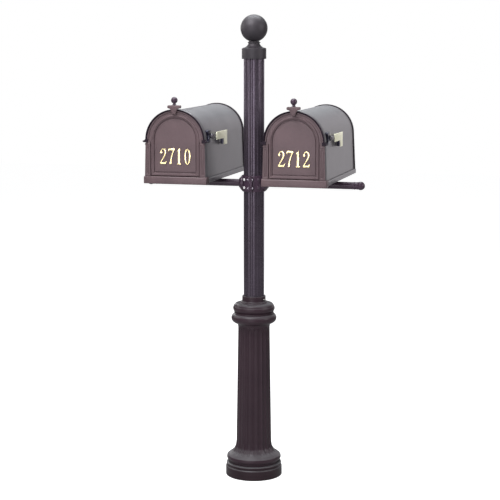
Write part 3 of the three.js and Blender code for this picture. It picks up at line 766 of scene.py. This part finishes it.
# -------- mailbox body
def shell(label, x):
    lo, hi = box_mm(f"body_shell_{label}")
    r, wall = hi.z - SPRING, 3
    profile = [(r - wall, lo.y), (r, lo.y), (r, hi.y), (r - wall, hi.y)]
    part = moved(arch_sweep(profile, lo.z, SPLAY, 72, 6), x=x)
    # The shell's grey coat is partly a painted reflection.
    piece(f"shell_{label}", part, SHELL_PAINTED_SHEEN_COAT, "post", f"body_shell_{label}", sharp=40)


def tray(label, x):
    """A floor with a rounded wall along each side."""
    lo, hi = box_mm(f"base_tray_{label}")
    half = (hi.x - lo.x) / 2
    side = [
        (half, lo.z, 1.5), (half, hi.z - 3.2, 0.6), (half - 1.6, hi.z, 1.2), (half - 4.6, hi.z, 0.6),
        (half - 4.7, lo.z + 4),
    ]
    other = mirrored(side)
    section = rounded(other[:1] + side + other[:0:-1], 4)
    part = moved(prism(section, lo.y, hi.y), x=x)
    piece(f"tray_{label}", part, SHELL_PAINTED_SHEEN_COAT, "post", f"base_tray_{label}", sharp=38)


def rear(label, x):
    """A dished back panel with a proud rim, and a skirt behind the tray."""
    hi = box_mm(f"rear_panel_{label}")[1]
    r, back, foot, front_y = hi.z - SPRING, hi.y, 1151.6, 252.2
    flank = 6.4  # how much wider than its arch each row is at the foot
    rows = [
        (r - 2.5, 245.2), (r - 0.8, 245.2), (r, 246.2), (r, back - 3), (r - 0.8, back - 0.9),
        (r - 3, back), (r - 11, back), (r - 12.2, back - 0.4), (r - 14.6, back - 2.8), (r - 16, back - 3),
    ]
    loops = [arch_loop(r - 2.5, r + 4.2, foot, front_y)]
    for q, y in rows:
        rise = r - q if q < r - 2.6 else 0  # the rim's face and the dish stand clear of the foot
        loops.append(arch_loop(q, q + flank, foot + rise, y))
    low, high, half = 1138.5, 1156, 110.8
    skirt = rounded([(-half, low, 0.6), (half, low, 0.6), (half, high), (-half, high)], 3)
    whole = joined(loft(loops), prism(skirt, front_y, back - 0.6))
    # The back plate takes the darkened hood coat, a painted shade.
    piece(f"back_plate_{label}", moved(whole, x=x), SHADED_HOOD_COAT, "post", f"rear_panel_{label}", sharp=38)


# -------- mailbox front
SILL_TOP = 1156.0
SHOULDER = 1277.5  # where the opening widens from its legs to its arch
OPENING_LEG, OPENING_ARCH = 92.0, 99.5
FRAME_BACK = -246.2


def upright(profile):
    """Sweeps ("opening" or "arch", distance, y) points over the front's arch.

    Opening points keep to the door's opening, and arch points follow the splay of the legs.
    """
    loops = []
    for splay, z, ux, uz in arch_stations(SILL_TOP - 2, 4.0, 72, 12):
        opening = OPENING_LEG if z < SHOULDER else OPENING_ARCH
        loop = []
        for edge, distance, y in profile:
            r = opening + distance if edge == "opening" else distance
            out = r if edge == "opening" else r + abs(splay)
            loop.append((out * ux, y, z + uz * r))
        loops.append(loop)
    return loft(loops)


def frame_arch(label, x):
    """The frame's face round the door, and the thin skirt over the front of the shell."""
    ring = upright(
        [
            ("opening", 0, -275.6), ("opening", 0.4, -276), ("arch", 108.4, -276),
            ("arch", 109.2, -275.3), ("arch", 109.2, FRAME_BACK), ("opening", 0, FRAME_BACK),
        ]
    )
    skirt = upright(
        [
            ("arch", 109.25, -275.2), ("arch", 109.7, -275.5), ("arch", 110, -275.1),
            ("arch", 110, FRAME_BACK), ("arch", 109.25, FRAME_BACK),
        ]
    )
    piece(f"frame_ring_{label}", moved(ring, x=x), CAST, "post", f"front_frame_{label}", sharp=38)
    piece(f"frame_skirt_{label}", moved(skirt, x=x), SHELL_PAINTED_SHEEN_COAT, "post", sharp=38)


def hood(label, x):
    """A coved drip moulding over the arch, with a turned-out foot at each end."""
    inner, outer = 103.0, 107.4
    cove = [(inner + (outer - inner) * k / 10, -275.9 - 5.0 * (k / 10) ** 2.2) for k in range(11)]
    profile = [(101.0, -274.9), (101.0, -275.5), (101.4, -275.9)] + cove
    profile += rounded([(107.9, -281.6, 0.5), (109.4, -282, 1.0), (110.0, -280.6, 1.0), (110.0, -274.9)], 4)
    foot = [
        (101, 1277.7, 0.6), (116, 1277.7, 2), (119.8, 1280.2, 1.6), (119.2, 1284, 1.6),
        (113.5, 1284.4, 3), (110, 1290, 3), (108.5, 1291), (101, 1288),
    ]
    feet = [prism(rounded(outline), -281.6, -262) for outline in (mirrored(foot), foot)]
    whole = joined(arch_sweep(profile, 1281.0, 0, 96, 2), *feet)
    # The hood's near-black coat is a painted shade.
    piece(f"hood_{label}", moved(whole, x=x), SHADED_HOOD_COAT, "post", sharp=35)


def pilaster(label, x, hand, side):
    """A leg of the frame with a round-headed niche and a small cap."""
    top, face, back = 1276.6, -277.6, -270
    leg = [(92.2, 1156.2), (113.4, 1156.2), (110.3, top), (92.2, top)]
    slab = prism([(side * a, z) for a, z in leg], face, back)
    mid, half, margin, head = side * 102.3, 5.4, 1.8, 1256
    niche = [(mid - half, 1164), (mid + half, 1164)] + arc(mid, head, half, 0, 180, 12)
    half -= margin
    field = [(mid - half, 1166), (mid + half, 1166)] + arc(mid, head, half, 0, 180, 12)
    slab = carve(
        slab, ("DIFFERENCE", prism(niche, -280, -276.2)), ("UNION", prism(field, -277.2, -272))
    )
    cap = [(92.8, 1268.6), (112.2, 1268.6), (112.4, 1273.4), (92.8, 1273.4)]
    cap = prism([(side * a, z) for a, z in cap], face - 1.2, back)
    piece(f"pilaster_{label}_{hand}", moved(slab, x=x), CAST, "post", bevel=0.45, segments=2)
    piece(f"pilaster_cap_{label}_{hand}", moved(cap, x=x), CAST, "post", bevel=1.2)


def sill(label, x):
    lo, hi = box_mm(f"front_frame_{label}")
    half = (hi.x - lo.x) / 2 - 2.5
    face, back = -279.4, -240.6
    section = [(face, lo.z), (face, SILL_TOP - 5.5), (-276.8, SILL_TOP), (back, SILL_TOP), (back, lo.z)]
    hollow = block(-108, 108, -271.4, -230, lo.z - 2, 1150)
    shell_seat = block(-111.3, 111.3, -246, -230, 1138, 1200)
    step = carve(prism(section, -half, half, "yz"), ("DIFFERENCE", hollow), ("DIFFERENCE", shell_seat))
    piece(f"sill_{label}", moved(step, x=x), CAST, "post", bevel=1.6)


# -------- door
def door(label, x):
    """The leaf, from its back rim round to the sunk panel."""
    lo, hi = box_mm(f"door_{label}")
    front_y, back_y, foot = -274.0, hi.y, lo.z
    edge, leg, shoulder = 98.9, 91.4, 1278.6
    rims = [
        (9.0, back_y - 1.5), (8.0, back_y - 0.1), (0.8, back_y), (0, back_y - 0.8),
        (0, front_y + 0.9), (0.9, front_y),
    ]
    moulding = [(90.3, front_y), (90.1, -275.2), (89.6, -276.0), (88.8, -276.5), (84.6, -276.5)]
    moulding += [(83.9, -276.2), (83.5, -275.4), (83.2, -274.4), (82.8, front_y), (80.8, front_y)]
    groove = [(80.2, -273.7), (79.8, -273.0), (79.5, -268.9), (79.0, -268.4), (76.8, -268.4)]
    groove += [(76.4, -268.9), (76.1, -270.8), (75.7, -271.3)]
    panel = [(74.7, -271.4), (60.0, -271.4)]
    rows = [arch_loop(edge - i, leg - i, foot + i, y, shoulder + i) for i, y in rims]
    rows += [arch_loop(r, r, foot + leg - r, y) for r, y in moulding + groove + panel]
    piece(f"door_leaf_{label}", moved(loft(rows), x=x), CAST, f"door_{label}", f"door_{label}", sharp=34)


def keystone_outline(half, foot, top, inset):
    """A scrolled bar over a tapering key; the inset shrinks it for the raised face."""
    wing = half - inset
    right = [
        (0, top - 1.0 - inset), (9, top - 0.4 - inset, 5), (15, top - 2.4 - inset, 4),
        (half - 7, top - inset, 5), (wing, top - 2.5 - inset, 3), (wing, top - 10.5 + inset, 4),
        (half - 9, top - 13 + inset, 3), (13.8 - inset, top - 13.5, 3), (9 - inset, top - 23, 6),
        (5.2 - inset, foot + inset, 1.4),
    ]
    return rounded(right + mirrored(right[:0:-1]))


def keystone(label, x):
    body = f"door_{label}"
    lo, hi = box_mm(f"door_keystone_{label}")
    top, foot, face, half = hi.z, lo.z, lo.y, (hi.x - lo.x) / 2
    core, door_face = -284, -269.2
    low, high, end = top - 11.6, top - 1, half - 1
    bar = rounded([(-end, low, 4), (end, low, 4), (end, high, 4), (-end, high, 4)])
    parts = (
        ("keystone", prism(keystone_outline(half, foot, top, 0.0), face + 0.9, core + 0.9), 0.5, 2),
        ("keystone_face", prism(keystone_outline(half, foot, top, 2.2), face, core), 0.6, 2),
        ("keystone_bar", prism(bar, core, door_face), 1.2, 3),
        ("keystone_root", block(-4.8, 4.8, core, -274.2, foot, 1385.8), 0.6, 3),
    )
    for name, part, bevel, segments in parts:
        node = f"door_keystone_{label}" if name == "keystone" else None
        piece(f"{name}_{label}", moved(part, x=x), CAST, body, node, bevel=bevel, segments=segments)


def pull_knob(label, x):
    node = f"door_knob_{label}"
    lo, hi = box_mm(node)
    top = box_mm(f"door_keystone_{label}")[1].z
    r = 11.9
    profile = bent(
        [
            (0, lo.z), (3, lo.z), (3, top + 0.3), (7.6, top + 0.3, 0.6), (7.8, top + 1.6, 0.8),
            (6.2, top + 2.8, 0.8), (5.2, top + 4.4, 1.5),
        ]
    )
    profile += arc(0, hi.z - r, r, -66, 90, 32)[:-1] + [(0, hi.z)]
    part = moved(lathe(profile, 48), x=x, y=middle(node).y)
    piece(f"pull_knob_{label}", part, ARM_COAT, f"door_{label}", node, sharp=40)


def hinge_rod(label):
    """The door's steel hinge pin, with eased ends."""
    node = f"hinge_rod_{label}"
    lo, hi = box_mm(node)
    mid, r = middle(node), 2.2
    outline = bent([(0, lo.x), (r, lo.x, 0.5), (r, hi.x, 0.5), (0, hi.x)], 3)
    part = moved(lathe(outline, 24), y=mid.y, z=mid.z, turn=ALONG_X)
    piece(f"hinge_pin_{label}", part, ZINC, "post", node)


# -------- house numbers
DIGITS = {"left": "2710", "right": "2712"}
DIGIT_H = 57.0
ONE_HALF = 7.9  # from the middle of the figure 1 to the side of its foot


def spline(points, steps=8):
    """Catmull-Rom through (x, z, width) points."""
    out = []
    for i in range(len(points) - 1):
        p = [Vector(points[min(max(k, 0), len(points) - 1)]) for k in (i - 1, i, i + 1, i + 2)]
        for s in range(steps):
            t = s / steps
            linear = 2 * p[1] + (p[2] - p[0]) * t
            square = (2 * p[0] - 5 * p[1] + 4 * p[2] - p[3]) * t * t
            cubic = (3 * p[1] - p[0] - 3 * p[2] + p[3]) * t ** 3
            out.append(0.5 * (linear + square + cubic))
    return out + [Vector(points[-1])]


def brush(points, near, far):
    """A stroke whose width changes along its centre line."""
    line = spline(points)
    loops = []
    for i, p in enumerate(line):
        a, b = line[max(i - 1, 0)], line[min(i + 1, len(line) - 1)]
        along = Vector((b.x - a.x, b.y - a.y)).normalized()
        out = Vector((-along.y, along.x)) * p.z * 0.40
        corners = ((1, near), (-1, near), (-1, far), (1, far))
        loops.append([(p.x + s * out.x, y, p.y + s * out.y) for s, y in corners])
    return loft(loops)


def disc(x, z, r, near, far):
    return prism(arc(x, z, r, 0, 345, 23), near, far)


def oval(half_width, half_height):
    """An ellipse at the middle of a figure's height."""
    turns = [TAU * i / 48 for i in range(48)]
    return [(half_width * math.cos(a), DIGIT_H / 2 + half_height * math.sin(a)) for a in turns]


def zero(near, far):
    outer, inner = oval(11.6, DIGIT_H / 2), oval(5.2, DIGIT_H / 2 - 3.2)
    rings = ((outer, near), (outer, far), (inner, far), (inner, near))
    return [loft([[(a, y, b) for a, b in ring] for ring, y in rings], wrap=True, caps=False)]


def one(near, far):
    stem = rounded(
        [
            (-3.2, 0), (3.2, 0), (3.2, DIGIT_H, 0.5), (1.2, DIGIT_H, 0.5), (-7.6, DIGIT_H - 9.5, 0.5),
            (-7.2, DIGIT_H - 11.6, 0.5), (-3.2, DIGIT_H - 9.6),
        ],
        3,
    )
    foot = rounded(
        [(-8, 0, 0.4), (8, 0, 0.4), (8, 1.8, 0.4), (3.2, 4.4, 2), (-3.2, 4.4, 2), (-8, 1.8, 0.4)], 3
    )
    return [prism(stem, near, far), prism(foot, near, far)]


def two(near, far):
    stroke = [
        (-8.6, 40, 5.4), (-8.0, 47, 3.6), (-2.6, 54.4, 3.8), (5.2, 51.6, 6.0), (8.2, 43, 7.0),
        (5.4, 32, 6.2), (-2.0, 19, 4.4), (-10.2, 5.2, 3.4),
    ]
    foot = rounded(
        [
            (-12, 0, 0.3), (10.4, 0, 0.3), (12.4, 12, 0.4), (10.8, 12.2, 0.4), (8.0, 7.6, 2),
            (-9.5, 6.4), (-12, 3.2),
        ],
        3,
    )
    return [brush(stroke, near, far), disc(-7.4, 41.5, 3.9, near, far), prism(foot, near, far)]


def seven(near, far):
    head = rounded(
        [
            (-11.6, 44, 0.4), (-10.2, 44, 0.4), (-8.2, 49.6, 2), (11.8, 50.2), (12, 53),
            (12, DIGIT_H, 0.3), (-11.4, DIGIT_H, 0.3),
        ],
        3,
    )
    stroke = [(9.8, 52.5, 4.6), (5.6, 42, 4.8), (0.8, 28, 5.6), (-2.4, 13, 6.6), (-3.4, 3.4, 7.2)]
    return [prism(head, near, far), brush(stroke, near, far), disc(-3.5, 3.7, 3.65, near, far)]


GLYPHS = {"0": zero, "1": one, "2": two, "7": seven}


def digits(label):
    for place, character in enumerate(DIGITS[label], 1):
        node = f"digit_{label}_{place}"
        lo, hi = box_mm(node)
        x = hi.x - ONE_HALF if character == "1" else middle(node).x
        first, *others = GLYPHS[character](lo.y, hi.y)
        glyph = carve(first, *[("UNION", part) for part in others])
        glyph = moved(glyph, x=x, z=lo.z + 0.2)
        name = f"number_{label}_{place}"
        piece(name, glyph, POLISHED_BRASS, f"door_{label}", node, bevel=0.35, segments=2)


# -------- signal flags
def off_wall(part, near, far):
    """Cuts a part back to the outside of the mailbox wall, from y near to y far."""
    r, foot = 105.2, 1138
    wall = [(-r - SPLAY, foot), (r + SPLAY, foot)] + arc(0, SPRING, r, 0, 180, 72)
    return carve(part, ("DIFFERENCE", prism(wall, near - 2, far + 2)))


def flag_bracket(label, x, pivot):
    """A waisted lug on the wall, with the hub that the flag turns against."""
    node = f"flag_bracket_{label}"
    lo, hi = box_mm(node)
    y0, y1, z0, z1 = lo.y, hi.y, lo.z, hi.z
    low, high = middle(node).z - 7, middle(node).z + 7
    front, back = y0 + 12, y1 - 13  # of the waist
    outline = rounded(
        [
            (y0, z0, 1.5), (y1, z0, 1.5), (y1, z0 + 6, 2), (back, low, 6), (back, high, 6),
            (y1, z1 - 6, 2), (y1, z1, 1.5), (y0, z1, 1.5), (y0, z1 - 6, 2), (front, high, 6),
            (front, low, 6), (y0, z0 + 6, 2),
        ]
    )
    lug = off_wall(prism(outline, 100, hi.x - x - 1.4, "yz"), y0, y1)
    hub = moved(rod(8.6, hi.x - 3, hi.x, 40, ALONG_X), y=pivot.y, z=pivot.z)
    piece(f"flag_lug_{label}", moved(lug, x=x), IRON, "post", node, bevel=1.0)
    piece(f"flag_hub_{label}", hub, IRON, "post", bevel=0.5, segments=2)


def flag_blade(label, pivot):
    """The turning half: an arm with a round eye, and the L-shaped plate on its end."""
    node = f"flag_arm_{label}"
    lo, hi = box_mm(node)
    half, neck = 6.0, -178
    eye = arc(pivot.y, pivot.z, 9.4, 60, 300, 24)
    low, high = pivot.z - half, pivot.z + half
    bar = rounded(eye + [(neck, low, 8), (hi.y, low, 3), (hi.y, high, 3), (neck, high, 8)])
    bar = prism(bar, lo.x, hi.x, "yz")
    piece(f"flag_bar_{label}", bar, SHELL_PAINTED_SHEEN_COAT, f"flag_{label}", node, bevel=0.6, segments=2)

    node = f"flag_plate_{label}"
    lo, hi = box_mm(node)
    bottom, tab = 1283.0, -66.0
    shape = rounded(
        [
            (lo.y, bottom, 1.5), (tab, bottom, 1), (tab, lo.z, 1.5), (hi.y, lo.z, 1.5),
            (hi.y, hi.z, 1.5), (lo.y, hi.z, 1.5),
        ],
        4,
    )
    blade = prism(shape, lo.x, hi.x, "yz")
    piece(f"flag_blade_{label}", blade, SATIN_BRASS, f"flag_{label}", node, bevel=0.5, segments=2)


def pivot_screw(label, pivot):
    """A slotted round head on a plain shank."""
    node = f"flag_screw_{label}"
    lo, hi = box_mm(node)
    seat = hi.x - 3.2
    head = bent(
        [
            (0, lo.x), (3, lo.x), (3, seat), (6.5, seat, 0.2), (6.4, hi.x - 1.6, 1.0),
            (3.5, hi.x, 1.5), (0, hi.x),
        ]
    )
    slot = block(hi.x - 1.2, hi.x + 1, -8, 8, -0.7, 0.7)
    screw = carve(moved(lathe(head, 32), turn=ALONG_X), ("DIFFERENCE", slot))
    part = moved(screw, y=pivot.y, z=pivot.z)
    piece(f"pivot_screw_{label}", part, BOLT_COAT, "post", node, sharp=30)


def flag_rest(label, x):
    """The block that the level flag lies against, with a dark bumper on its end."""
    node = f"flag_rest_{label}"
    lo, hi = box_mm(node)
    stop = [(lo.y, lo.z + 3, 2), (hi.y - 1, lo.z, 2), (hi.y, hi.z - 1, 1), (lo.y + 1, hi.z - 1, 1)]
    lug = prism(rounded(stop, 4), lo.x - x, hi.x - x - 8.5, "yz")
    lug = moved(off_wall(lug, lo.y, hi.y), x=x)
    bumper = rounded([(lo.y, lo.z + 0.5, 3), (hi.y, lo.z, 2), (hi.y, hi.z, 1.5), (lo.y, hi.z, 1.5)], 4)
    piece(f"flag_stop_{label}", lug, SHELL_PAINTED_SHEEN_COAT, "post", node, bevel=0.8)
    piece(f"flag_bumper_{label}", prism(bumper, hi.x - 9, hi.x, "yz"), IRON, "post", bevel=1.2)


# -------- build
def post():
    base_plinth()
    base_column()
    capital()
    post_tube()
    post_cap()
    ball_finial()
    set_screw("neck_set_screw", "capital_set_screw", STAINLESS)
    set_screw("rear_set_screw", "cap_set_screw", ZINC)
    for label, side in SIDES.items():
        clamp_half(label, side)
        clamp_screws(label, side)
    cross_bolts()
    for label, side in SIDES.items():
        arm(label, side)
        saddle(label)


def mailbox(label):
    x = middle(f"body_shell_{label}").x
    shell(label, x)
    tray(label, x)
    rear(label, x)
    frame_arch(label, x)
    hood(label, x)
    pilaster(label, x, "a", -1)
    pilaster(label, x, "b", 1)
    sill(label, x)
    door(label, x)
    keystone(label, x)
    pull_knob(label, x)
    digits(label)
    pivot = joint_mm(f"flag_pivot_{label}")
    flag_bracket(label, x, pivot)
    flag_blade(label, pivot)
    pivot_screw(label, pivot)
    flag_rest(label, x)
    hinge_rod(label)


def hidden_steel():
    """The two CAD nodes that stay, inside the base and inside the ball."""
    for node in ("anchor_plate", "finial_stud"):
        mesh = frame["nodes"][node].data
        mesh.materials.clear()
        mesh.materials.append(ZINC)


post()
for label in SIDES:
    mailbox(label)
hidden_steel()


# -------- stage
FLOOR_HALF, FLOOR_Z = 12.0, -0.0005  # metres

# Name, place, what it looks at, size, power, colour, and whether the paint mirrors it.
LIGHTS = (
    ("front_softbox", (0.0, -4.2, 2.4), (0, 0, 1.3), (1.4, 2.0), 104, (0.93, 0.95, 1.0), False),
    ("front_strip", (-0.1, -4.3, 1.5), (0, 0, 1.3), (0.5, 1.5), 34, (0.93, 0.95, 1.0), True),
    ("low_card", (-1.3, -4.0, 0.9), (0, 0, 1.25), (1.2, 1.2), 17, WHITE, True),
    ("overhead_front", (-0.6, -1.3, 3.3), (0, 0, 0.6), (1.2, 1.0), 85, (0.97, 0.98, 1.0), True),
    ("left_softbox", (-3.2, 0.4, 2.2), (0, 0, 1.3), (0.8, 1.6), 25, (1.0, 0.99, 0.97), True),
    ("right_softbox", (3.2, -0.4, 2.2), (0, 0, 1.2), (0.9, 2.0), 48, WHITE, True),
    ("top_softbox", (-0.2, 0.7, 3.4), (0, 0, 1.3), (2.0, 1.4), 80, (0.92, 0.98, 1.0), True),
    ("back_card", (1.3, 4.2, 1.4), (0, 0, 1.2), (2.2, 2.6), 16.5, (1.0, 0.95, 0.99), True),
    ("back_top_card", (-0.5, 4.2, 2.6), (0, 0, 1.3), (1.8, 1.2), 5, (0.88, 0.97, 1.0), True),
    ("back_left_card", (-2.4, 3.4, 2.0), (0, 0, 1.2), (1.2, 2.0), 30, WHITE, True),
)


def floor():
    """A matt floor that the camera sees nearly white."""
    corners = ((-1, -1), (1, -1), (1, 1), (-1, 1))
    verts = [(a * FLOOR_HALF, b * FLOOR_HALF, FLOOR_Z) for a, b in corners]
    mesh = bpy.data.meshes.new("floor")
    mesh.from_pydata(verts, [], [(0, 1, 2, 3)])
    obj = linked("floor", mesh)
    material, tree, shader = nodes_of("pale_floor")
    glow = add(tree, "Math")
    glow.operation = "MULTIPLY"
    glow.inputs[1].default_value = 0.93
    tree.links.new(add(tree, "LightPath").outputs["Is Camera Ray"], glow.inputs[0])
    fill(tree, shader, {"Base Color": (0.4, 0.4, 0.4), "Roughness": 0.9})
    fill(tree, shader, {"Emission Color": WHITE, "Emission Strength": glow.outputs["Value"]})
    mesh.materials.append(material)


def world(ambient, strength):
    """A white backdrop, with a dimmer studio around the object to be mirrored in its paint."""
    scene_world = bpy.data.worlds.new("studio")
    bpy.context.scene.world = scene_world
    scene_world.use_nodes = True
    tree = scene_world.node_tree
    around = tree.nodes["Background"]
    fill(tree, around, {"Color": ambient, "Strength": strength})
    white = add(tree, "Background", Color=WHITE)
    mix = add(tree, "MixShader", Fac=add(tree, "LightPath").outputs["Is Camera Ray"])
    tree.links.new(around.outputs["Background"], mix.inputs[1])
    tree.links.new(white.outputs["Background"], mix.inputs[2])
    tree.links.new(mix.outputs["Shader"], tree.nodes["World Output"].inputs["Surface"])


def area_light(name, place, target, size, power, color, mirrored):
    data = bpy.data.lights.new(name, "AREA")
    data.shape = "RECTANGLE"
    data.size, data.size_y = size
    data.energy = power
    data.color = color
    obj = linked(name, data)
    obj.visible_camera = False
    obj.visible_glossy = mirrored
    obj.location = place
    obj.rotation_euler = (Vector(target) - Vector(place)).to_track_quat("-Z", "Y").to_euler()


def camera():
    """A long lens from the front right, a little above the mailboxes and looking slightly down."""
    azimuth, pitch = math.radians(15.2), math.radians(7.33)
    distance, height, aside = 5.48, 1.678, -0.0148
    data = bpy.data.cameras.new("camera")
    data.lens = 106.6
    data.sensor_width = 36
    data.shift_y = -0.06
    obj = linked("camera", data)
    right = Vector((math.cos(azimuth), math.sin(azimuth), 0))
    back = Vector((math.sin(azimuth), -math.cos(azimuth), 0))
    obj.location = back * distance + right * aside + Vector((0, 0, height))
    look = -back * math.cos(pitch) - Vector((0, 0, math.sin(pitch)))
    obj.rotation_euler = look.to_track_quat("-Z", "Y").to_euler()
    bpy.context.scene.camera = obj


floor()
world((0.96, 0.97, 1.0), 0.14)
for light in LIGHTS:
    area_light(*light)
camera()
bpy.context.scene.view_settings.view_transform = "Standard"
